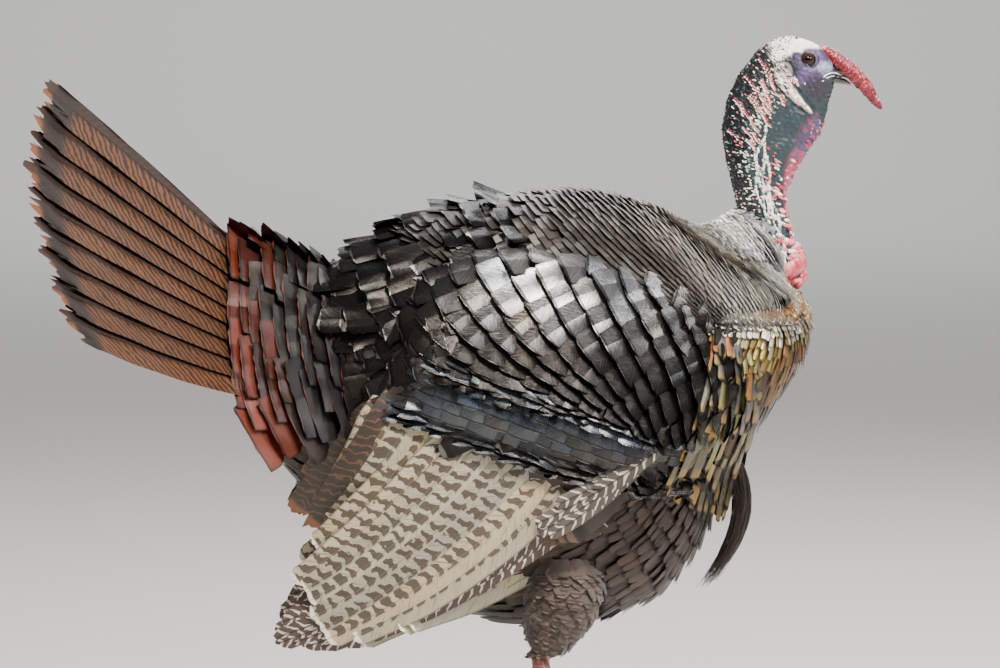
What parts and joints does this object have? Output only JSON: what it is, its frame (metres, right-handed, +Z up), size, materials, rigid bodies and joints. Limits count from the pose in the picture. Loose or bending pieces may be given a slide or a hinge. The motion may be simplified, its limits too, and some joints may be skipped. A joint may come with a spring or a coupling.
{
  "type": "wild turkey",
  "caption": "Adult male wild turkey standing, life size, tail raised and half spread, wings folded and hanging a little, head turned ahead.",
  "frame": {"origin": "on the floor, under the middle of the bird's bounding box, between the feet", "axes": "+X forward, the way the bill points; +Y to the bird's left; +Z up"},
  "size_m": [0.8068, 0.5066, 0.7722],
  "materials": {
    "bronze_feather": "dark bronze-brown body feathers with a metallic sheen and black edges",
    "tail_feather": "chestnut tail feathers with fine dark bars, a dark band and a rust tip",
    "tail_covert": "rust-red coverts with dark bands",
    "barred_quill": "pale wing quills barred with brown",
    "down": "dull dark downy feathers",
    "blue_skin": "bare wrinkled skin, blue-grey with pale and red bumps",
    "red_skin": "bare fleshy skin, red and slightly moist",
    "bill_horn": "semi-gloss grey horn",
    "eye": "wet gloss, dark brown",
    "leg_scale": "salmon-pink scaled skin",
    "claw_horn": "semi-gloss dark horn",
    "bristle": "dark coarse bristles"
  },
  "bodies": {
    "root": {"beard": "bristle", "bill_lower": "bill_horn", "bill_upper": "bill_horn", "caruncles": "red_skin", "claw_hind_left": "claw_horn", "claw_hind_right": "claw_horn", "claw_inner_left": "claw_horn", "claw_inner_right": "claw_horn", "claw_middle_left": "claw_horn", "claw_middle_right": "claw_horn", "claw_outer_left": "claw_horn", "claw_outer_right": "claw_horn", "dewlap": "red_skin", "ear_left": "blue_skin", "ear_right": "blue_skin", "eye_left": "eye", "eye_right": "eye", "foot_left": "leg_scale", "foot_right": "leg_scale", "head": "blue_skin", "neck": "blue_skin", "rectrix_left_1": "tail_feather", "rectrix_left_2": "tail_feather", "rectrix_left_3": "tail_feather", "rectrix_left_4": "tail_feather", "rectrix_left_5": "tail_feather", "rectrix_left_6": "tail_feather", "rectrix_left_7": "tail_feather", "rectrix_left_8": "tail_feather", "rectrix_left_9": "tail_feather", "rectrix_right_1": "tail_feather", "rectrix_right_2": "tail_feather", "rectrix_right_3": "tail_feather", "rectrix_right_4": "tail_feather", "rectrix_right_5": "tail_feather", "rectrix_right_6": "tail_feather", "rectrix_right_7": "tail_feather", "rectrix_right_8": "tail_feather", "rectrix_right_9": "tail_feather", "snood": "red_skin", "spur_left": "claw_horn", "spur_right": "claw_horn", "tail_coverts_under": "down", "tail_coverts_upper": "tail_covert", "tarsus_left": "leg_scale", "tarsus_right": "leg_scale", "thigh_left": "down", "thigh_right": "down", "trunk": "bronze_feather", "wing_alula_left": "barred_quill", "wing_alula_right": "barred_quill", "wing_greater_coverts_left": "bronze_feather", "wing_greater_coverts_right": "bronze_feather", "wing_primaries_left": "barred_quill", "wing_primaries_right": "barred_quill", "wing_secondaries_left": "barred_quill", "wing_secondaries_right": "barred_quill", "wing_shoulder_left": "bronze_feather", "wing_shoulder_right": "bronze_feather"}
  },
  "joints": []
}
